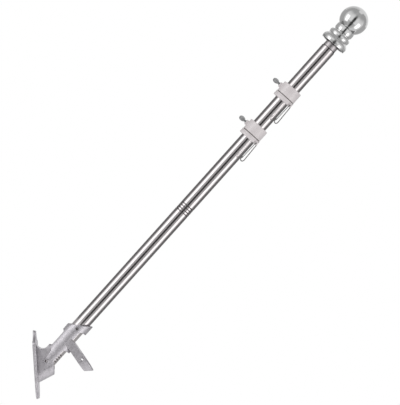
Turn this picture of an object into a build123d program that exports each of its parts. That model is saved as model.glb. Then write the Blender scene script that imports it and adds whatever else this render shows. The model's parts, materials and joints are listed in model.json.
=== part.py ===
from build123d import *
from math import acos, cos, degrees, radians, sin, sqrt, tan
import os

# A two-section steel flagpole in its cast two-position wall bracket.
# Millimetres. +X points out from the wall, +Z up, Y along the wall. The origin lies on the wall
# face of the bracket, on the axis of the socket that points straight out.

# ---- pole: two steel tubes on a coupling ----
tube_od = 25.4
tube_wall = 0.8
lower_tube_length = 325.0
upper_tube_length = 382.0
groove_count = 4                # rolled grooves that grip the insert in each tube's lower end
groove_start = 17.8             # tube end to the first groove
groove_pitch = 4.6
groove_radius = 1.0             # of the roller's edge
groove_depth = 0.5
insert_clearance = 0.05         # radial, insert in tube
insert_wall = 2.4
coupling_grip = 45.0            # length of the coupling in the upper tube
coupling_reach = 60.0           # and in the lower tube
coupling_slip = 0.15            # radial, where the lower tube slides over it
plug_length = 42.0
waist_margin = 2.5              # relief of an insert beyond the first and last groove

# ---- finial: ferrule, turned base and ball ----
ferrule_d = 23.8
ferrule_shown = 13.2            # between tube and base
spigot_length = 30.0            # ferrule's stem in the tube
base_socket_depth = 18.0        # ferrule's stem in the base
base_flange_d = 47.0
base_flange_top = 9.0
base_curl = 3.0                 # rim hanging below the flange
base_curl_width = 3.2
base_curl_inner_rise = 1.0      # the rim's round edge, up its inner side
base_curl_outer_rise = 1.4      # and up its outer side
base_skirt_inset = 0.6          # flange's side at its ends, drawn in from its full width
base_skirt_height = 4.8         # where the side begins to close in
base_land_d = 37.1              # ledge between flange and bead
base_land_width = 1.0
base_bead_d = 39.2
base_bead_low = 10.6
base_bead_high = 18.4
base_waist_d = 31.0
base_waist_height = 20.6
base_neck_d = 34.6
base_neck_low = 22.2
base_neck_high = 31.8
base_neck_inset = 0.6           # neck's edges, short of its full width
ball_d = 48.5
ball_centre = 50.0              # above the flange's lower face
ball_wall = 1.6
ball_stud_d = 12.0
ball_stud_height = 36.0
ball_stud_root = 1.0            # web between the stud and the ferrule's socket
finial_clearance = 0.05

# ---- anti-wrap rings: clamped collar with a free-turning spinner below it ----
lower_ring_place = 507.0        # spinner's lower face above the pole's end
ring_spacing = 84.0             # from ring to ring
ring_bore = 26.6
collar_od = 35.6
collar_length = 19.6
collar_edge = 1.2
neck_od = 30.4                  # journal that the spinner turns on
lip_od = 32.4                   # snap lip that keeps it there
lip_length = 1.5
spinner_od = 37.0
spinner_length = 8.4
spinner_edge = 1.0
spinner_band_depth = 0.6        # waist rolled round the spinner
spinner_band_width = 1.4
spinner_band_height = 5.2
running_gap = 0.3               # spinner against collar and lip, axial and radial
boss_d = 9.0
boss_rise = 3.4                 # above the collar

# ---- thumb screw ----
screw_d = 4.0
screw_clearance = 0.05
screw_tip_gap = 0.1
screw_neck = 2.4
screw_shoulder_d = 5.6
screw_shoulder = 1.0
spade_d = 11.0
spade_thickness = 2.2
spade_sink = 1.0                # spade over the neck's end
spade_edge = 0.5
spade_turn = 50.0               # resting turn of the spade about the screw
grip_count = 4
grip_pitch = 2.1
grip_rise = 0.35
grip_width = 0.8
grip_inset = 0.8                # ribs end this short of the spade's edge

# ---- ear and wire clip ----
ear_angle = 42.0                # round the pole, from straight below towards the front
ear_reach = 5.2                 # ear's rise from the spinner
ear_width = 2.4
ear_height = 5.6
ear_root = 1.5                  # tail sunk in the spinner
ear_corner = 1.6
ear_hole_d = 2.4
ear_hole_reach = 3.2            # hole's centre above the spinner
wire_d = 1.6
clip_bar_gap = 0.1              # wire bend beside the ear
clip_corner_radius = 1.1
clip_length = 33.5              # eye bar to the centre of the round end
clip_end_radius = 4.7
clip_nose = 2.2                 # hook's end past the round end
gate_d = 1.3
gate_gap = 0.1
gate_root = 3.6                 # pivot of the gate below the eye bar

# ---- bracket casting; x runs to the plate's tip, z out of the wall ----
pole_tilt = 45.0                # arm against the wall's normal
plate_thickness = 5.0
plate_step = 0.8                # ledge round the plate's edge
plate_step_height = 2.6
plate_edge = 0.6
shoulder_x = -31.5
shoulder_y = 30.3
shoulder_radius = 7.0
tip_x = 35.5
tip_radius = 23.8
apex_x = -45.0
apex_radius = 10.0
screw_hole_d = 5.6
screw_hole_x = -30.0
screw_hole_y = 25.2
tip_hole_x = 51.5
socket_clearance = 0.5          # radial, pole in either socket
socket_cross = 20.0             # where the two socket axes meet, out from the wall
socket_floor = 6.5              # bottom of the sockets, out from the wall
socket_seat_gap = 0.05
arm_od = 35.2
arm_length = 84.5               # from the crossing of the axes to the middle of the mouth
arm_mouth_slant = 34.0          # mouth against a square cut, longer on the outer side
arm_root = 9.0                  # taper that runs out in the cup below the crossing
arm_root_radius = 14.0
arm_mouth_edge = 1.2
scallop_floor = 7.0             # openings in the arm's outer side, cut down to this above its axis
scallop_corner = 6.0
lower_scallop_high = 36.5       # along the arm from the crossing
upper_scallop_low = 48.0
upper_scallop_high = 77.0
back_window_low = 22.5
back_window_high = 60.0
back_window_width = 22.0
back_window_corner = 4.0
cup_rim = 32.0                  # straight socket's mouth, out from the wall
cup_rim_x = 2.0
cup_rim_radius = 18.0
cup_rim_edge = 1.6
cup_foot_x = 16.5
cup_foot_radius = 17.0
gusset_foot_x = -26.0
gusset_top_x = -18.0
gusset_radius = 15.5
gusset_ramp_radius = 10.0
loop_top = 87.2                 # loop's upper face on the straight socket's axis
loop_od = 34.6
loop_thickness = 13.8
loop_tilt = 31.0                # its faces rise towards the plate's tip
loop_edge = 1.0
pin_hole_d = 5.0
pin_boss_d = 8.6
pin_boss_rise = 0.8
arm_pin_from_mouth = 7.6
loop_pin_x = -2.0
cup_pin_x = -3.7

tube_r = tube_od / 2
bore_r = tube_r - tube_wall
socket_r = tube_r + socket_clearance
arm_r = arm_od / 2
lean = radians(pole_tilt)

# The pole stands in the tilted socket with the lower edge of its end on the socket's floor.
seat = (socket_floor + socket_seat_gap + tube_r * sin(lean) - socket_cross) / cos(lean)
pole_frame = Location((socket_cross + seat * cos(lean), 0, seat * sin(lean)), (0, 90 - pole_tilt, 0))
wall_frame = Location((0, 0, 0), (0, 90, 0))
arm_frame = Location((0, 0, socket_cross), (0, -pole_tilt, 0))

BOTTOM = (Align.CENTER, Align.CENTER, Align.MIN)


def rod(radius, low, high):
    """Cylinder about Z between two heights."""
    return Pos(0, 0, low) * Cylinder(radius, high - low, align=BOTTOM)


def groove_heights():
    return [groove_start + i * groove_pitch for i in range(groove_count)]


def rolled_tube(length):
    """Tube with rolled grooves near its lower end: each dents the wall without thinning it."""
    tube = rod(tube_r, 0, length) - rod(bore_r, 0, length)
    centre = tube_r + groove_radius - groove_depth
    inside = rod(bore_r + tube_wall / 2, 0, length)
    for height in groove_heights():
        tube += (Pos(0, 0, height) * Torus(centre, groove_radius + tube_wall)) & inside
        tube -= Pos(0, 0, height) * Torus(centre, groove_radius)
    return tube


def insert_waist(at=0.0):
    """Relief turned into an insert so that the rolled grooves can bite."""
    grooves = groove_heights()
    low = at + grooves[0] - waist_margin
    high = at + grooves[-1] + waist_margin
    return rod(bore_r, low, high) - rod(bore_r - groove_depth - insert_clearance, low, high)


def coupling():
    """Sleeve fixed in the upper tube; the lower tube slides over its longer end."""
    fixed = rod(bore_r - insert_clearance, 0, coupling_grip)
    sliding = rod(bore_r - coupling_slip, -coupling_reach, 0)
    sleeve = fixed + sliding
    ends = sleeve.edges().filter_by(GeomType.CIRCLE).sort_by(Axis.Z)
    sleeve = chamfer([ends[0], ends[-1]], insert_wall / 2)
    sleeve -= rod(bore_r - insert_clearance - insert_wall, -coupling_reach, coupling_grip)
    return sleeve - insert_waist()


def bottom_plug():
    """Insert that closes the pole's lower end."""
    plug = rod(bore_r - insert_clearance, 0, plug_length)
    plug -= rod(bore_r - insert_clearance - insert_wall, insert_wall, plug_length)
    return plug - insert_waist()


def finial_ferrule():
    """Ferrule between tube and finial, stemmed into both. Z=0 is the flange's lower face."""
    shown = rod(ferrule_d / 2, -ferrule_shown, base_socket_depth)
    stem = rod(bore_r - insert_clearance, -ferrule_shown - spigot_length, -ferrule_shown)
    core = rod(bore_r - insert_clearance - insert_wall, -ferrule_shown - spigot_length, -insert_wall)
    return shown + stem - core


def finial_base():
    """Turned base: curled flange, bead, waist and neck under the ball."""
    flange_r = base_flange_d / 2
    curl_inner = flange_r - base_curl_width
    skirt_r = flange_r - base_skirt_inset
    bead_edge = base_land_d / 2
    neck_edge = base_neck_d / 2 - base_neck_inset
    curl_start = (curl_inner, -base_curl + base_curl_inner_rise)
    curl_low = (curl_inner + base_curl_width / 2, -base_curl)
    skirt_low = (skirt_r, -base_curl + base_curl_outer_rise)
    skirt_high = (bead_edge + base_land_width, base_flange_top)
    with BuildPart() as base:
        with BuildSketch(Plane.XZ):
            with BuildLine():
                Polyline((0, 0), (curl_inner, 0), curl_start)
                ThreePointArc(curl_start, curl_low, skirt_low)
                ThreePointArc(skirt_low, (skirt_r, base_skirt_height), skirt_high)
                Line(skirt_high, (bead_edge, base_bead_low))
                ThreePointArc((bead_edge, base_bead_low),
                              (base_bead_d / 2, (base_bead_low + base_bead_high) / 2),
                              (bead_edge, base_bead_high))
                ThreePointArc((bead_edge, base_bead_high), (base_waist_d / 2, base_waist_height),
                              (neck_edge, base_neck_low))
                ThreePointArc((neck_edge, base_neck_low),
                              (base_neck_d / 2, (base_neck_low + base_neck_high) / 2),
                              (neck_edge, base_neck_high))
                Polyline((neck_edge, base_neck_high), (0, base_neck_high), (0, 0))
            make_face()
        revolve(axis=Axis.Z)
    solid = base.part - Pos(0, 0, ball_centre) * Sphere(ball_d / 2 + finial_clearance)
    solid += rod(ball_stud_d / 2, base_socket_depth + ball_stud_root, ball_stud_height)
    return solid - rod(ferrule_d / 2 + finial_clearance, 0, base_socket_depth + finial_clearance)


def finial_ball():
    """Hollow ball on the base's stud."""
    ball = Sphere(ball_d / 2) - Sphere(ball_d / 2 - ball_wall)
    ball -= rod(ball_stud_d / 2 + finial_clearance, -ball_d, 0)
    return Pos(0, 0, ball_centre) * ball


# Ring pieces stand on Z=0 at the spinner's lower face. The collar's screw points to -X.
collar_low = spinner_length + running_gap
collar_high = collar_low + collar_length
screw_height = (collar_low + collar_high) / 2
ear_r = spinner_od / 2 + ear_hole_reach
ear_height_at = ear_height / 2
ear_frame = Pos(0, 0, ear_height_at) * Rot(0, 0, -ear_angle) * Pos(ear_r, 0, 0)
screw_frame = Pos(0, 0, screw_height) * Rot(0, -90, 0)


def ring_collar():
    """Clamped collar: body, snap neck for the spinner, and the boss of the thumb screw."""
    body = rod(collar_od / 2, collar_low, collar_high)
    rims = body.edges().filter_by(GeomType.CIRCLE)
    body = fillet(rims, collar_edge)
    boss = rod(boss_d / 2, 0, collar_od / 2 + boss_rise)
    boss = fillet(boss.edges().filter_by(GeomType.CIRCLE).sort_by(Axis.Z)[-1], collar_edge / 2)
    body += screw_frame * boss
    body += rod(neck_od / 2, 0, collar_low)
    body += rod(lip_od / 2, 0, lip_length)
    body -= rod(ring_bore / 2, 0, collar_high)
    return body - screw_frame * rod(screw_d / 2 + screw_clearance, 0, collar_od)


def ring_spinner():
    """Spinner: free ring round the collar's neck, with the ear of the wire clip."""
    body = rod(spinner_od / 2, 0, spinner_length)
    body = fillet(body.edges().filter_by(GeomType.CIRCLE), spinner_edge)
    band_centre = spinner_od / 2 + spinner_band_width - spinner_band_depth
    body -= Pos(0, 0, spinner_band_height) * Torus(band_centre, spinner_band_width)
    body += ear_frame * ear_block()
    body -= rod(neck_od / 2 + running_gap, 0, spinner_length)
    return body - rod(lip_od / 2 + running_gap, 0, lip_length + running_gap)


def ear_block():
    """Ear with its hole at the origin; X points away from the ring, Y along the hole."""
    tip = ear_reach - ear_hole_reach
    tail = ear_hole_reach + ear_root
    block = Pos((tip - tail) / 2, 0, 0) * Box(tip + tail, ear_width, ear_height)
    corners = block.edges().filter_by(Axis.Y).group_by(Axis.X)[-1]
    block = fillet(corners, ear_corner)
    return block - Rot(90, 0, 0) * Cylinder(ear_hole_d / 2, ear_width)


def thumb_screw():
    """Spade-headed screw along Z, with its tip just clear of the pole."""
    tip = tube_r + screw_tip_gap
    seat_at = collar_od / 2 + boss_rise + running_gap
    spade_at = seat_at + screw_shoulder + screw_neck + spade_d / 2 - spade_sink
    screw = rod(screw_d / 2, tip, spade_at)
    screw += rod(screw_shoulder_d / 2, seat_at, seat_at + screw_shoulder)
    spade = Rot(90, 0, 0) * Cylinder(spade_d / 2, spade_thickness)
    spade = fillet(spade.edges().filter_by(GeomType.CIRCLE), spade_edge)
    for i in range(grip_count):
        offset = (i - (grip_count - 1) / 2) * grip_pitch
        chord = 2 * sqrt((spade_d / 2 - grip_inset) ** 2 - offset ** 2)
        spade += Pos(0, 0, offset) * Box(chord, spade_thickness + 2 * grip_rise, grip_width)
    return Rot(0, 0, spade_turn) * (screw + Pos(0, 0, spade_at) * spade)


def clip_leg_points():
    """Corner of the eye bar, the leg's tangent point on the round end, and the leg's direction."""
    corner_y = ear_width / 2 + clip_bar_gap + clip_corner_radius
    slant = (clip_end_radius - corner_y) / clip_length
    tangent = Vector(0, clip_end_radius * sqrt(1 - slant ** 2), -clip_length + clip_end_radius * slant)
    return corner_y, tangent


def swept_wire(path, diameter):
    profile = Plane(origin=path @ 0, z_dir=path % 0) * Circle(diameter / 2)
    return sweep(profile, path=path)


def clip_hook():
    """Fixed wire of the clip: eye bar through the ear, long leg, round end and nose."""
    corner_y, tangent = clip_leg_points()
    near = Vector(0, -tangent.Y, tangent.Z)
    leg = (tangent - Vector(0, corner_y, 0)).normalized()
    nose = near + Vector(0, -leg.Y, leg.Z) * -clip_nose
    root_end = Vector(0, -corner_y, -gate_root + gate_d / 2 + gate_gap)
    eye = FilletPolyline(root_end, (0, -corner_y, 0), (0, corner_y, 0), tangent, radius=clip_corner_radius)
    end = ThreePointArc(tangent, (0, 0, -clip_length - clip_end_radius), near)
    return swept_wire(Wire(eye.edges() + end.edges() + Line(near, nose).edges()), wire_d)


def clip_gate():
    """Sprung leg of the clip, from its pivot to its rest inside the nose."""
    corner_y, tangent = clip_leg_points()
    pivot = Vector(0, -corner_y, -gate_root)
    inward = (wire_d + gate_d) / 2 + gate_gap
    rest = Vector(0, -tangent.Y + inward, tangent.Z)
    wire = swept_wire(Wire(Line(pivot, rest).edges()), gate_d)
    wire += Pos(*pivot) * Sphere(gate_d / 2)
    return wire + Pos(*rest) * Sphere(gate_d / 2)


def disc(x, y, radius):
    return Pos(x, y) * Circle(radius)


def slot_outline(disc_x, disc_radius, far_x, far_radius):
    """Two discs on the X axis with the straight sides that wrap them."""
    return make_hull(disc(disc_x, 0, disc_radius).edges() + disc(far_x, 0, far_radius).edges())


def plate_outline():
    """Plate: two shoulders and a round tip, with a lobe flared out of the wide end."""
    lobe, tip = Vector(apex_x, 0), Vector(tip_x, 0)
    shoulder = Vector(shoulder_x, shoulder_y)
    shoulder_end = shoulder - Vector(shoulder_radius, 0)
    # The flare is an arc tangent to the lobe and to the shoulder's outermost point.
    step = shoulder_end.X - apex_x
    flare_radius = (step**2 + shoulder_y**2 - apex_radius**2) / (2 * (apex_radius + step))
    flare = shoulder_end - Vector(flare_radius, 0)
    lobe_end = lobe + (flare - lobe).normalized() * apex_radius
    # The side is the straight line that touches the shoulder and the tip.
    run = tip - shoulder
    outward = run.normalized().rotate(Axis.Z, degrees(acos((shoulder_radius - tip_radius) / run.length)))
    side_start = shoulder + outward * shoulder_radius
    side_end = tip + outward * tip_radius
    with BuildSketch() as outline:
        with BuildLine():
            lobe_arc = TangentArc(lobe - Vector(apex_radius, 0), lobe_end, tangent=(0, 1))
            flare_arc = TangentArc(lobe_end, shoulder_end, tangent=lobe_arc % 1)
            TangentArc(shoulder_end, side_start, tangent=flare_arc % 1)
            side = Line(side_start, side_end)
            TangentArc(side_end, tip + Vector(tip_radius, 0), tangent=side % 1)
            mirror(about=Plane.XZ)
        make_face()
    return outline.sketch


def plate():
    outline = plate_outline()
    solid = extrude(outline, plate_step_height)
    upper = extrude(offset(outline, -plate_step), plate_thickness)
    solid += chamfer(upper.edges().group_by(Axis.Z)[-1], plate_edge)
    for x, y in ((screw_hole_x, -screw_hole_y), (screw_hole_x, screw_hole_y), (tip_hole_x, 0)):
        solid -= Pos(x, y, 0) * rod(screw_hole_d / 2, 0, plate_thickness)
    return solid


def cup_body():
    """Cup of the straight socket and the gusset behind it, scooped up to the arm's back."""
    start = plate_step_height
    foot = slot_outline(cup_foot_x, cup_foot_radius, gusset_foot_x, gusset_radius)
    rim = slot_outline(cup_rim_x, cup_rim_radius, gusset_top_x, gusset_radius)
    body = loft([Pos(0, 0, start) * foot, Pos(0, 0, cup_rim) * rim])
    body = fillet(body.edges().group_by(Axis.Z)[-1], cup_rim_edge)
    # Side outline: the plate, a concave ramp and the arm's back up to the rim.
    back_x = socket_cross - plate_thickness - arm_r / sin(lean)
    run = gusset_ramp_radius / tan(lean / 2)
    ramp_foot = (back_x - run, plate_thickness)
    ramp_top = (back_x - run * sin(lean), plate_thickness + run * cos(lean))
    ramp_middle = (ramp_foot[0] + gusset_ramp_radius * sin(lean / 2),
                   plate_thickness + gusset_ramp_radius * (1 - cos(lean / 2)))
    far_x = cup_foot_x + cup_foot_radius + 1
    arm_back_x = back_x - (cup_rim - plate_thickness)
    with BuildSketch(Plane.XZ) as side:
        with BuildLine():
            Polyline((far_x, start), (ramp_foot[0], start), ramp_foot)
            ThreePointArc(ramp_foot, ramp_middle, ramp_top)
            Polyline(ramp_top, (arm_back_x, cup_rim), (far_x, cup_rim), (far_x, start))
        make_face()
    return body & extrude(side.sketch, 2 * cup_rim_radius, both=True)


def straight_loop():
    """Upper loop of the straight socket: a slanted slab that runs back to the arm's middle."""
    tail_x = socket_cross - loop_top
    reach = loop_top + loop_od
    outline = slot_outline(0, loop_od / 2, tail_x, loop_od / 2)
    slab = Box(3 * reach, 3 * arm_od, loop_thickness, align=(Align.CENTER, Align.CENTER, Align.MAX))
    loop = extrude(outline, reach) & (Pos(0, 0, loop_top) * Rot(0, -loop_tilt, 0) * slab)
    loop = fillet(loop.edges().filter_by(GeomType.ELLIPSE).sort_by(Axis.X)[-2:], loop_edge)
    outer_half = Box(reach, 3 * arm_od, 3 * reach, align=(Align.MIN, Align.CENTER, Align.CENTER))
    return loop & (arm_frame * outer_half)


def scallop(low, high):
    """Slice off the arm's outer side, with rounded ends."""
    depth = arm_od
    outline = RectangleRounded(depth, high - low, scallop_corner)
    middle = (scallop_floor + depth / 2, 0, (low + high) / 2)
    side = Plane(origin=middle, x_dir=(1, 0, 0), z_dir=(0, -1, 0))
    return extrude(side * outline, arm_od, both=True)


def back_window():
    """Long opening in the arm's back wall."""
    outline = RectangleRounded(back_window_width, back_window_high - back_window_low, back_window_corner)
    middle = (back_window_low + back_window_high) / 2
    return extrude(Plane(origin=(0, 0, middle), x_dir=(0, 1, 0), z_dir=(-1, 0, 0)) * outline, arm_od)


def arm():
    """Tilted socket's tube along Z, from inside the cup to its slanted mouth."""
    high = arm_length + arm_r * tan(radians(arm_mouth_slant))
    waste = Box(3 * arm_od, 3 * arm_od, arm_od, align=BOTTOM)
    tube = rod(arm_r, 0, high) - Pos(0, 0, arm_length) * Rot(0, -arm_mouth_slant, 0) * waste
    tube = fillet(tube.edges().filter_by(GeomType.ELLIPSE), arm_mouth_edge)
    tube += Pos(0, 0, -arm_root) * Cone(arm_root_radius, arm_r, arm_root, align=BOTTOM)
    tube -= scallop(-arm_od, lower_scallop_high)
    return tube - scallop(upper_scallop_low, upper_scallop_high)


def cross_pin(radius, half_length):
    return Rot(90, 0, 0) * Cylinder(radius, 2 * half_length)


def bracket():
    """Casting with both sockets: plate, cup, tilted arm and the straight socket's loop."""
    loop_middle = loop_top - loop_thickness / 2 / cos(radians(loop_tilt))
    pins = [Pos(cup_pin_x, 0, socket_cross), Pos(loop_pin_x, 0, loop_middle),
            arm_frame * Pos(0, 0, arm_length - arm_pin_from_mouth)]
    solid = plate() + cup_body() + arm_frame * arm() + straight_loop()
    for pin in pins:
        solid += pin * cross_pin(pin_boss_d / 2, arm_r + pin_boss_rise)
    solid -= arm_frame * (rod(socket_r, seat - socket_seat_gap, arm_length + arm_od) + back_window())
    solid -= rod(socket_r, socket_floor, loop_top + arm_od)
    for pin in pins:
        solid -= pin * cross_pin(pin_hole_d / 2, arm_od)
    return solid


def write(name, shape, place):
    shape = place * shape
    shape.label = name
    export_step(shape, f"parts/{name}.step")


os.makedirs("parts", exist_ok=True)
pole_length = lower_tube_length + upper_tube_length
finial_frame = pole_frame * Pos(0, 0, pole_length + ferrule_shown)
seam_frame = pole_frame * Pos(0, 0, lower_tube_length)

write("bracket", bracket(), wall_frame)
write("lower_tube", rolled_tube(lower_tube_length), pole_frame)
write("upper_tube", rolled_tube(upper_tube_length), seam_frame)
write("coupling", coupling(), seam_frame)
write("bottom_plug", bottom_plug(), pole_frame)
write("finial_ferrule", finial_ferrule(), finial_frame)
write("finial_base", finial_base(), finial_frame)
write("finial_ball", finial_ball(), finial_frame)
ring_places = {"lower": lower_ring_place, "upper": lower_ring_place + ring_spacing}
for ring, height in ring_places.items():
    ring_frame = pole_frame * Pos(0, 0, height)
    write(f"{ring}_collar", ring_collar(), ring_frame)
    write(f"{ring}_spinner", ring_spinner(), ring_frame)
    write(f"{ring}_thumb_screw", screw_frame * thumb_screw(), ring_frame)
    write(f"{ring}_clip_hook", ear_frame * clip_hook(), ring_frame)
    write(f"{ring}_clip_gate", ear_frame * clip_gate(), ring_frame)
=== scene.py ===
# %% [markdown]
# A wall-mounted flagpole. Two polished steel tubes stand at 45 degrees in a cast bracket. They
# carry two white rings with wire clips, and a plated finial with a ball on top. All the shapes
# come from the CAD model, so this lesson is about finishes and light: how a few procedural
# materials, and a studio built for mirrors, make plain solids look like the real thing.

# %% The frame
import bpy
import bmesh
import json
from math import cos, radians, sin
from mathutils import Matrix, Vector


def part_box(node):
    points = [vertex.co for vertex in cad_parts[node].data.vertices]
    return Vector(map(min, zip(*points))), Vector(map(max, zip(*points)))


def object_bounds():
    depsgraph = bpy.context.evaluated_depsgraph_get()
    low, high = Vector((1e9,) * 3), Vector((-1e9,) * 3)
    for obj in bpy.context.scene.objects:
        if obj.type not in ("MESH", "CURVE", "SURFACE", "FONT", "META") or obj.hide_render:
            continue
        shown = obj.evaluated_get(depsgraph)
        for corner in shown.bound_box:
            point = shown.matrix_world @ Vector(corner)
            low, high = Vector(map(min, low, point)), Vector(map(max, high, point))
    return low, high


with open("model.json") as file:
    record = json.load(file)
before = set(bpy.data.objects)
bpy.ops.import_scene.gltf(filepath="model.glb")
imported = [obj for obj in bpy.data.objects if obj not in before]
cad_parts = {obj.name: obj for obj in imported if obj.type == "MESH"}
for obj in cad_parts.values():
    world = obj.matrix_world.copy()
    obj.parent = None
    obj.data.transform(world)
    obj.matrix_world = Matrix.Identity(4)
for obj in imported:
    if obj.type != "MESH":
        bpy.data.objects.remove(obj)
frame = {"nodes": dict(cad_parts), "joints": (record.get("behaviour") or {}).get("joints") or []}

cad_low, cad_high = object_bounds()
nodes = frame["nodes"]
print("CAD nodes:", len(nodes), "box:", [round(v, 3) for v in (*cad_low, *cad_high)])

# %% [markdown]
# Most of the pieces are turned parts on one tilted line, the pole's axis. Its direction is the
# one in which the pole lifts out of its socket, and its foot is the middle of the lower tube's
# end. Patterns, cards and lamps are all placed from these two. They could be typed in as
# numbers, but read from the model they stay right if the pole moves.

# %% The pole's axis
joints = {joint["name"]: joint for joint in frame["joints"]}
along = Vector(joints["pole_lift"]["axis"]).normalized()
across = Vector((-along.z, 0.0, along.x))
lean = along.angle(Vector((0.0, 0.0, 1.0)))
tube_low, tube_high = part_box("lower_tube")
tube_radius = (tube_high.y - tube_low.y) / 2
corner_to_middle = tube_radius * Vector((abs(across.x), 0.0, abs(across.z)))
foot = Vector((tube_low.x, 0.0, tube_low.z)) + corner_to_middle


def height_of(point):
    """Metres up the pole from its foot."""
    return (point - foot).dot(along)


ball_low, ball_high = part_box("finial_ball")
ball_height = height_of((ball_low + ball_high) / 2)
print("foot:", [round(v, 4) for v in foot], "ball's middle at", round(ball_height, 3))

# %% [markdown]
# Shader maths reads best as Python. This class wraps a node's output, and each operator adds one
# Math node, so that a mask can be written as 1 - streak * 0.3. The reflected forms let a plain
# number stand on the left.

# %% Sockets that do arithmetic
class Value:
    """A node's output that can be used in expressions."""

    def __init__(self, tree, socket):
        self.tree = tree
        self.socket = socket

    def math(self, operation, *values):
        return self.tree.node("Math", {"operation": operation}, dict(enumerate(values)))

    def __add__(self, other):
        return self.math("ADD", self, other)

    __radd__ = __add__

    def __sub__(self, other):
        return self.math("SUBTRACT", self, other)

    def __rsub__(self, other):
        return self.math("SUBTRACT", other, self)

    def __mul__(self, other):
        return self.math("MULTIPLY", self, other)

    __rmul__ = __mul__

    def away(self):
        """Its size, whatever its sign."""
        return self.math("ABSOLUTE", self)

    def or_more(self, other):
        """The larger of the two."""
        return self.math("MAXIMUM", self, other)

    def step(self, low, high):
        """0 below low, 1 above high, and smooth between."""
        settings = {"interpolation_type": "SMOOTHSTEP"}
        values = {"Value": self, "From Min": low, "From Max": high}
        return self.tree.node("MapRange", settings, values)

# %% [markdown]
# A node tree is built by one method. It takes a node's type, then its settings, which come first
# because some of them change which sockets there are, and then values or links. Colours are
# mixed by a Mix node, because a Math node would turn them grey.

# %% Trees that grow by one method
def rgba(colour):
    """A plain colour gets the fourth number that a socket wants. A node's output stays."""
    return colour if isinstance(colour, Value) else (*colour, 1.0)


class Tree:
    """The node tree of a material or of the world, which is its owner."""

    def __init__(self, owner):
        owner.use_nodes = True
        self.owner = owner
        self.made = owner.node_tree
        self.made.nodes.clear()

    def node(self, kind, settings=None, values=None, output=0):
        new = self.made.nodes.new("ShaderNode" + kind)
        for name, setting in (settings or {}).items():
            setattr(new, name, setting)
        for name, value in (values or {}).items():
            if isinstance(value, Value):
                self.made.links.new(value.socket, new.inputs[name])
            else:
                new.inputs[name].default_value = value
        return Value(self, new.outputs[output]) if len(new.outputs) else None

    def blend(self, factor, first, second):
        """Colour mixed from the first, at 0, to the second, at 1."""
        values = {"Factor": factor, 6: rgba(first), 7: rgba(second)}
        return self.node("Mix", {"data_type": "RGBA"}, values, output=2)

# %% [markdown]
# Every finish here is a Principled shader whose colour and roughness vary a little. Patterns are
# measured in millimetres on the real thing, and Object coordinates are metres, so the scale of a
# noise is 1000 divided by the size of its blobs. The Mapping node turns the coordinates so that
# Z runs up the pole, which lets a streak follow the tube.

# %% A finish and its coordinates
class Finish(Tree):
    """A material whose patterns are placed on the pole, or square to the wall."""

    def __init__(self, name, on_pole=True):
        super().__init__(bpy.data.materials.new(name))
        self.place = self.node("TexCoord", output="Object")
        if on_pole:
            turned = {"Vector": self.place, "Location": foot, "Rotation": (0.0, lean, 0.0)}
            self.place = self.node("Mapping", {"vector_type": "TEXTURE"}, turned)

    def up_pole(self):
        """Metres up the pole from its foot."""
        return self.node("SeparateXYZ", {}, {"Vector": self.place}, output="Z")

    def from_axis(self):
        """Metres from the pole's axis."""
        only_xy = {0: self.place, 1: (1.0, 1.0, 0.0)}
        flat = self.node("VectorMath", {"operation": "MULTIPLY"}, only_xy)
        return self.node("VectorMath", {"operation": "LENGTH"}, {0: flat}, output="Value")

    def stretched(self, wide, long):
        """Coordinates for blobs of so many millimetres across the pole and along it."""
        scale = (1000 / wide, 1000 / wide, 1000 / long)
        return self.node("Mapping", {}, {"Vector": self.place, "Scale": scale})

    def noise(self, wide, long, detail=2.0, roughness=0.5):
        values = {"Vector": self.stretched(wide, long), "Scale": 1.0}
        return self.node("TexNoise", {}, {**values, "Detail": detail, "Roughness": roughness})

    def bump(self, height, depth, **more):
        """Relief of so many millimetres."""
        return self.node("Bump", {}, {"Height": height, "Distance": depth / 1000, **more})

    def surface(self, **sockets):
        """Principled shader; a name such as base_color stands for the socket Base Color."""
        values = {name.replace("_", " ").title(): value for name, value in sockets.items()}
        shader = self.node("BsdfPrincipled", {}, values)
        self.node("OutputMaterial", {}, {"Surface": shader})
        return self.owner

# %% [markdown]
# The CAD pieces keep their meshes and only get new materials in their slots. Where two of them
# meet, or where a tool has cut a groove, the colour is darkened as painted shade, the same dark
# shade everywhere on the metal. To find such a place, a helper measures how far up the pole a
# piece's points lie.

# %% Dressing the pieces
# Painted shade: a near-black colour that stands in for the shade in grooves and joints.
painted_shade = (0.05, 0.045, 0.045)


def grey(level, warmth=0.0):
    """A near-neutral colour, a little warmer than grey, or cooler below 0."""
    return (level * (1 + warmth), level, level * (1 - warmth))


def dress(material, *names):
    """Gives CAD nodes this material in all their slots."""
    for name in names:
        for slot in nodes[name].material_slots:
            slot.material = material
    print(material.name, "on", len(names), "nodes")


def heights(name, outside=0.0):
    """Metres up the pole of a node's points that lie further to the side than outside."""
    points = [vertex.co for vertex in nodes[name].data.vertices]
    return [height_of(point) for point in points if abs(point.y) >= outside]

# %% [markdown]
# The tubes are thin-walled stainless steel, polished lengthwise. The polish leaves streaks a
# fraction of a millimetre wide and many centimetres long, and handling leaves faint clouds. A
# metal shows its surroundings, so its own colour stays near grey, and the streaks show more in
# its roughness. The rolled grooves get painted shade, a darker colour. They could be found by
# their place up the tube, but their depth is simpler: only there is the surface nearer to the
# axis.

# %% Polished steel tube
groove_floor = tube_radius - 0.0005
groove_edge = tube_radius - 0.0001
steel = Finish("polished_steel")
streak = steel.noise(wide=0.35, long=60.0, detail=3.0)
cloud = steel.noise(wide=14.0, long=40.0)
# Painted shade: the grooves' colour is darkened almost to black.
shaded_groove = 1 - steel.from_axis().step(groove_floor, groove_edge)
polished = steel.blend(streak, (0.508, 0.482, 0.487), (0.58, 0.55, 0.556))
steel_material = steel.surface(
    base_color=steel.blend(shaded_groove * 0.85, polished, painted_shade),
    metallic=1.0,
    roughness=0.15 + streak * 0.05 + cloud.step(0.45, 0.7) * 0.05 + shaded_groove * 0.3,
    normal=steel.bump(streak, depth=0.004),
)
dress(steel_material, "lower_tube", "upper_tube")

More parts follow.
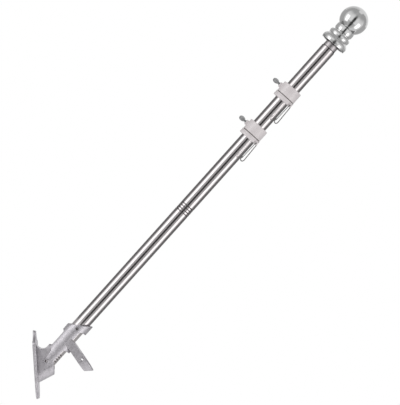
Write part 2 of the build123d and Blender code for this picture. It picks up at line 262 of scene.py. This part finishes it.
# %% [markdown]
# The plug and the coupling are turned from aluminium bar. The cutting tool leaves fine rings
# round the axis, which are the same noise stretched the other way: wide across and short along.

# %% Turned inserts
turned = Finish("turned_aluminium")
ring_marks = turned.noise(wide=60.0, long=0.25, detail=1.0)
insert_material = turned.surface(
    base_color=turned.blend(ring_marks, grey(0.55), grey(0.66)),
    metallic=1.0,
    roughness=0.32 + ring_marks * 0.12,
    normal=turned.bump(ring_marks, depth=0.02),
)
dress(insert_material, "coupling", "bottom_plug")

# %% [markdown]
# The ferrule between tube and finial is blasted aluminium: duller and darker than both, with a
# very fine even grain and only soft reflections. Painted shade darkens its two ends, at the
# joint with the tube and in the corner below the flange, where the flange shades it. Both joints
# are measured from the pieces that meet there, and two smooth steps draw a narrow dark line at
# each.

# %% Satin ferrule
satin = Finish("satin_aluminium")
grain = satin.noise(wide=0.3, long=0.3, detail=3.0, roughness=0.6)
blasted = satin.blend(grain, (0.415, 0.392, 0.400), (0.518, 0.490, 0.500))
ferrule_start = max(heights("upper_tube"))
flange_start = min(heights("finial_base", outside=tube_radius))
up_ferrule = satin.up_pole()
# Painted shade: narrow dark lines at the joint with the tube and under the flange.
below = 1 - (up_ferrule - ferrule_start).step(0.0008, 0.0024)
above = up_ferrule.step(flange_start - 0.002, flange_start + 0.0005)
ferrule_material = satin.surface(
    base_color=satin.blend(below.or_more(above) * 0.8, blasted, painted_shade),
    metallic=1.0,
    roughness=0.30 + grain * 0.1,
    normal=satin.bump(grain, depth=0.01),
)
print("ferrule from", round(ferrule_start, 4), "to", round(flange_start, 4), "m up the pole")
dress(ferrule_material, "finial_ferrule")

# %% [markdown]
# The finial is a plastic moulding plated with chrome. Plating is smoother than polished steel,
# but it follows every slight wave of the plastic below it, so a large and very shallow bump
# makes its reflections wander a little. A buffing wheel doesn't reach between flange and bead,
# so the finish is duller there, up to the waist above the bead.

# %% Chrome finial
below_ball = 0.0285, 0.0315
chrome = Finish("plated_chrome")
wave = chrome.noise(wide=9.0, long=9.0)
haze = chrome.noise(wide=3.0, long=3.0, detail=4.0, roughness=0.6)
unpolished = (ball_height - chrome.up_pole()).step(*below_ball)
finial_material = chrome.surface(
    base_color=chrome.blend(haze, grey(0.57), grey(0.63)),
    metallic=0.95,
    roughness=0.12 + haze.step(0.45, 0.75) * 0.05 + unpolished * 0.08,
    normal=chrome.bump(wave, depth=0.02),
)
dress(finial_material, "finial_base", "finial_ball")

# %% [markdown]
# The rings are injection-moulded plastic, white with a touch of pink. A thin coat gives them
# their gloss, and a fine orange-peel bump breaks it where light grazes. Each ring is a fixed
# collar and a spinner that turns below it, and the gap between the two gets painted shade. The
# gap's place is the top of the spinner, and the dark line fades out on both sides of it.

# %% White ring plastic
plastic = Finish("ring_plastic")
peel = plastic.noise(wide=1.2, long=1.2)
tone = plastic.noise(wide=16.0, long=16.0).step(0.35, 0.65)
unshaded_plastic = plastic.blend(tone, (0.738, 0.690, 0.700), (0.782, 0.735, 0.745))
up_ring = plastic.up_pole()
gap_shade = 0.0
for ring in ("lower", "upper"):
    gap = max(heights(f"{ring}_spinner"))
    gap_shade = (1 - (up_ring - gap).away().step(0.0004, 0.0013)) + gap_shade
    print(ring, "ring's gap", round(gap, 4), "m up the pole")
# Painted shade: the plastic darkens to a deep brown-grey in each ring's gap.
ring_material = plastic.surface(
    base_color=plastic.blend(gap_shade * 0.8, unshaded_plastic, (0.16, 0.14, 0.13)),
    roughness=0.30 + peel * 0.08,
    coat_weight=0.25,
    coat_roughness=0.12,
    normal=plastic.bump(peel, depth=0.004),
)
dress(ring_material, "lower_collar", "upper_collar", "lower_spinner", "upper_spinner")

# %% [markdown]
# The thumb screws are small castings with nickel plate, greyer than the tube and slightly
# pitted. One fine noise gives the pits their depth, their shade and their duller surface.

# %% Nickel screws
nickel = Finish("nickel_plate")
pitting = nickel.noise(wide=0.5, long=0.5, detail=3.0)
screw_material = nickel.surface(
    base_color=nickel.blend(pitting, grey(0.36, -0.01), grey(0.50, -0.01)),
    metallic=1.0,
    roughness=0.26 + pitting * 0.14,
    normal=nickel.bump(pitting, depth=0.03),
)
dress(screw_material, "lower_thumb_screw", "upper_thumb_screw")

# %% [markdown]
# The clips are bent from hard steel wire. Its low colour is painted shade, for the dark
# surroundings that the wire mirrors, and a smooth surface still gives sharp highlights. The wire
# turns every way, so its fine pores are as long as they are wide, because streaks along the pole
# would cross it at the bends.

# %% Clip wire
wire = Finish("drawn_wire")
pores = wire.noise(wide=0.6, long=0.6, detail=1.0)
# Painted shade: the wire's colour is set low to darken its reflections.
wire_material = wire.surface(
    base_color=wire.blend(pores, grey(0.16, 0.02), grey(0.22, 0.02)),
    metallic=1.0,
    roughness=0.14 + pores * 0.06,
    normal=wire.bump(pores, depth=0.002),
)
dress(wire_material, "lower_clip_hook", "upper_clip_hook", "lower_clip_gate", "upper_clip_gate")

# %% [markdown]
# The bracket is cast aluminium with a silver hammered paint. Such paint dries into shallow
# dimples about a millimetre across, and its metal flakes gather at their edges, so one pattern
# drives height, colour and roughness. Voronoi cells give the dimples, a finer noise the flakes,
# and a broad one the patches that a spray gun leaves.

# %% Hammered dimples
hammered = Finish("hammered_silver", on_pole=False)
cells = {"Vector": hammered.stretched(wide=1.1, long=1.1), "Scale": 1.0}
dimple = hammered.node("TexVoronoi", {"feature": "SMOOTH_F1"}, cells)
flake = hammered.noise(wide=0.4, long=0.4, detail=3.0, roughness=0.7)
patch = hammered.noise(wide=9.0, long=9.0, detail=3.0)
shade = dimple * 0.4 + flake * 0.8 + patch * 0.35 - 0.28
relief = dimple * 0.7 + flake * 0.3
print("dimples, flakes and patches on the bracket")

# %% [markdown]
# A casting has no knife edges, and its paint thins on them. The Bevel node turns the normal near
# an edge, as a rounding of its radius would. Where that normal leaves the face's own, there is
# an edge, which is made brighter: partly rubbed paint, partly a painted highlight. Ambient
# Occlusion finds the opposite, the inner corners, which get painted shade. It looks only at the
# bracket itself, because the pole can be lifted out.

# %% Edges and corners
rounded = hammered.node("Bevel", {"samples": 6}, {"Radius": 0.0009})
own_normal = hammered.node("NewGeometry", output="Normal")
both = {0: rounded, 1: own_normal}
facing = hammered.node("VectorMath", {"operation": "DOT_PRODUCT"}, both, output="Value")
edge = (1 - facing).step(0.01, 0.22)
nearby = {"samples": 8, "only_local": True}
open_air = hammered.node("AmbientOcclusion", nearby, {"Distance": 0.005}, output="AO")
# Painted shade: the inner corners darken to near black.
corner_shade = (1 - open_air).step(0.12, 0.6)

# %% Hammered silver paint
paint = hammered.blend(shade.step(0.2, 0.8), (0.38, 0.367, 0.387), (0.77, 0.745, 0.785))
# Partly rubbed paint, partly a painted highlight: the edges are lightened.
worn_and_highlit = hammered.blend(edge * 0.35, paint, (0.90, 0.87, 0.91))
bracket_material = hammered.surface(
    base_color=hammered.blend(corner_shade * 0.7, worn_and_highlit, (0.12, 0.11, 0.12)),
    metallic=0.9,
    roughness=0.36 + flake * 0.16 - edge * 0.08,
    normal=hammered.bump(relief, depth=0.1, Strength=0.8, Normal=rounded),
)
dress(bracket_material, "bracket")

# %% [markdown]
# Polished tube is a curved mirror, so a studio for it is built backwards, from what it should
# show. Angles round the pole are counted from the camera's side. A lamp at 57 degrees shows as
# a bright band half way to the tube's edge, a dark card in front as the black line down the
# middle, and dark cards beside and behind as the two dark edges.

# %% Where things stand round the pole
toward_camera = Vector((0.0, -1.0, 0.0))


def around(angle, distance, height):
    """A place round the pole: 0 degrees is the camera's side, 90 is above the pole."""
    direction = toward_camera * cos(radians(angle)) + across * sin(radians(angle))
    return foot + direction * distance + along * height

# %% [markdown]
# A card is a curved sheet round the pole's line. A straight edge beside the pole is spun through
# the card's angles. It glows evenly, shows only in mirrors, and casts no shadow. Cycles would
# also sample it as a lamp, which costs light rays and makes the plastic grainy, so
# that is turned off.

# %% A card that only mirrors see
def card(name, first, last, distance, reach, shade, end_shade=None):
    """A card between two angles. It may fade to another shade away from the finial's ball."""
    mesh = bmesh.new()
    ends = [mesh.verts.new(around(first, distance, height)) for height in reach]
    edge = mesh.edges.new(ends)
    bmesh.ops.spin(mesh, geom=ends + [edge], cent=foot, axis=-along, angle=radians(last - first),
                   steps=16, use_merge=False, use_normal_flip=False, use_duplicate=False)
    data = bpy.data.meshes.new(name)
    mesh.to_mesh(data)
    mesh.free()
    paper = Finish(name)
    glow = rgba(grey(shade))
    if end_shade is not None:
        from_ball = (paper.up_pole() - ball_height).away().step(0.3, 1.8)
        glow = paper.blend(from_ball, grey(shade), grey(end_shade))
    paper.node("OutputMaterial", {}, {"Surface": paper.node("Emission", {}, {"Color": glow})})
    paper.owner.cycles.emission_sampling = "NONE"
    data.materials.append(paper.owner)
    sheet = bpy.data.objects.new(name, data)
    bpy.context.scene.collection.objects.link(sheet)
    sheet.visible_camera = False
    sheet.visible_diffuse = False
    sheet.visible_shadow = False
    sheet.visible_transmission = False
    print(name, first, "to", last, "degrees,", distance, "m off, shade", shade)

# %% [markdown]
# The tube and the ball want different surroundings. A straight tube mirrors only what is level
# with it, so cards close beside it, which end below the finial, are all that it sees. Next to
# the finial they come nearer still, or the ball would show them.

# %% The close cards, for the tube
near = 0.12
nearest = 0.05
beside_tube = (0.09, 0.72)
to_finial = (0.09, 0.66)
at_finial = (0.655, 0.716)
sides = (("above", 1), ("below", -1))
card("black_strip", -9, 9, near, beside_tube, 0.01)
for side, turn in sides:
    card(f"edge_{side}", 9 * turn, 14 * turn, near, beside_tube, 0.22)
    card(f"scrim_{side}", 14 * turn, 38 * turn, near, beside_tube, 0.62)
    card(f"flag_{side}", 86 * turn, 156 * turn, near, to_finial, 0.22)
    card(f"close_flag_{side}", 86 * turn, 156 * turn, nearest, at_finial, 0.22)

# %% [markdown]
# The ball mirrors the whole room, so it sees a second set of cards, far out. They are paler than
# the close ones and turn to one middle grey with distance, so that their ends don't show. The
# exception stands behind the pole's upper end: it is pale, and lights the ball's upper rim.

# %% The far cards, for the ball
far = 1.5
farther = 1.6
all_along = (-8.0, 8.0)
below_lamps = (-8.0, -0.6)
past_lamps = (1.1, 8.0)
up_to_lamps = (-8.0, 1.1)
card("far_strip", -8.5, 8.5, far, all_along, 0.01, 0.5)
for side, turn in sides:
    card(f"far_edge_{side}", 8.5 * turn, 14 * turn, far, all_along, 0.6, 0.55)
    card(f"far_scrim_{side}", 14 * turn, 38 * turn, far, all_along, 1.05, 0.55)
    card(f"far_low_{side}", 38 * turn, 86 * turn, farther, below_lamps, 1.0, 0.5)
    card(f"far_high_{side}", 38 * turn, 86 * turn, farther, past_lamps, 1.0, 0.5)
    card(f"far_flag_{side}", 86 * turn, 125 * turn, farther, all_along, 0.55, 0.5)
card("back_flag_above", 125, 156, farther, up_to_lamps, 0.55, 0.5)
card("back_top_above", 125, 156, farther, past_lamps, 0.8)
card("back_flag_below", -125, -156, farther, up_to_lamps, 0.55, 0.5)

# %% [markdown]
# The lamps are soft boxes beside the pole, one stack above its line and one below. In each stack
# three boxes of one width and three lengths lie behind each other, so the light fades towards
# their ends, and a narrow one adds a bright core. Their power is set so that, with the
# air's own light, a colour shows about as it is written. The lower stack is a shade warmer.

# %% Soft boxes
def soft_box(name, angle, distance, height, wide, long, power, warmth):
    """A lamp that faces the pole, with its length along it."""
    data = bpy.data.lights.new(name, "AREA")
    data.shape = "RECTANGLE"
    data.size = wide
    data.size_y = long
    data.energy = power
    data.color = grey(1.0, warmth)
    lamp = bpy.data.objects.new(name, data)
    bpy.context.scene.collection.objects.link(lamp)
    place = around(angle, distance, height)
    back = (place - around(angle, 0.0, height)).normalized()
    axes = Matrix((along.cross(back), along, back)).transposed().to_4x4()
    lamp.matrix_world = Matrix.Translation(place) @ axes
    lamp.visible_camera = False
    print(name, "at", [round(v, 2) for v in place], power, "W")


band_angle = 57
band_width = 0.68
core_width = 0.36
for side, turn, warmth in (("above", 1, 0.0), ("below", -1, 0.01)):
    angle = band_angle * turn
    soft_box(f"long_box_{side}", angle, 1.3, 0.275, band_width, 1.45, 0.9, warmth)
    soft_box(f"middle_box_{side}", angle, 1.29, 0.30, band_width, 1.2, 0.95, warmth)
    soft_box(f"short_box_{side}", angle, 1.27, 0.325, band_width, 0.95, 0.85, warmth)
    soft_box(f"core_box_{side}", angle, 1.28, 0.37, core_width, 0.9, 0.5, warmth)

# %% [markdown]
# The air is white where the camera, a mirror or glass looks into it, and two thirds as bright
# where it only lights a surface. Light Path tells the rays apart. A white world for all of them
# would be simpler, but it would wash out the paint and the plastic.

# %% The air
white = (1.0, 1.0, 1.0)
air = Tree(bpy.data.worlds.new("studio_air"))
bpy.context.scene.world = air.owner
seen = air.node("LightPath", output="Is Camera Ray")
for ray in ("Is Glossy Ray", "Is Transmission Ray"):
    seen = seen.or_more(air.node("LightPath", output=ray))
soft_air = air.node("Background", {}, {"Color": rgba(white), "Strength": 0.68})
white_air = air.node("Background", {}, {"Color": rgba(white), "Strength": 1.0})
air_mix = air.node("MixShader", {}, {"Fac": seen, 1: soft_air, 2: white_air})
air.node("OutputWorld", {}, {"Surface": air_mix})
print("air made for", bpy.context.scene.world.name)

# %% [markdown]
# The floor lies well below the bracket, because the pole hangs on a wall. It is a large pale
# disc. Matt paper alone would look grey beside the white air, so for the camera and
# for mirrors it is mixed with a plain white glow: partly near the pole, which keeps the
# shadow, and wholly a few metres out, so that no rim shows against the air.

# %% The floor
floor_radius = 12.0
floor_drop = 1.3
floor_place = Matrix.Translation((cad_high.x / 2, 0.0, -floor_drop))
floor_mesh = bmesh.new()
bmesh.ops.create_circle(floor_mesh, cap_ends=True, segments=96, radius=floor_radius,
                        matrix=floor_place)
floor_data = bpy.data.meshes.new("floor")
floor_mesh.to_mesh(floor_data)
floor_mesh.free()
floor = bpy.data.objects.new("floor", floor_data)
bpy.context.scene.collection.objects.link(floor)
print("floor", floor_drop, "m below the bracket's axis")

# %% Paper that whitens outwards
pale = Tree(bpy.data.materials.new("pale_floor"))
looked_at = pale.node("LightPath", output="Is Camera Ray")
looked_at = looked_at.or_more(pale.node("LightPath", output="Is Glossy Ray"))
matt = pale.node("BsdfDiffuse", {}, {"Color": rgba(grey(0.9))})
glow = pale.node("Emission", {}, {"Color": rgba(white)})
place = {0: pale.node("TexCoord", output="Object")}
outwards = pale.node("VectorMath", {"operation": "LENGTH"}, place, output="Value")
whiter = outwards.step(2.0, 7.0) * 0.3 + 0.7
floor_mix = pale.node("MixShader", {}, {"Fac": looked_at * whiter, 1: matt, 2: glow})
pale.node("OutputMaterial", {}, {"Surface": floor_mix})
pale.owner.cycles.emission_sampling = "NONE"
floor_data.materials.append(pale.owner)
print("floor wears", pale.owner.name)

# %% [markdown]
# The camera looks level and square to the pole's plane, and is rolled a little, so that the pole
# climbs at 48 degrees in the picture. A long lens from far away keeps the tube's two edges
# parallel.

# %% Camera
roll = radians(3.1)
picture_height = 0.673
lens = 250.0
sensor = 36.0
aim = Vector((0.2887, 0.0, 0.2521))
camera_data = bpy.data.cameras.new("camera")
camera_data.lens = lens
camera_data.sensor_width = sensor
camera = bpy.data.objects.new("camera", camera_data)
bpy.context.scene.collection.objects.link(camera)
camera.location = aim + toward_camera * picture_height * lens / sensor
camera.rotation_euler = (radians(90), roll, 0.0)
bpy.context.scene.camera = camera
bpy.context.scene.view_settings.view_transform = "Standard"
print("camera", [round(v, 3) for v in camera.location])
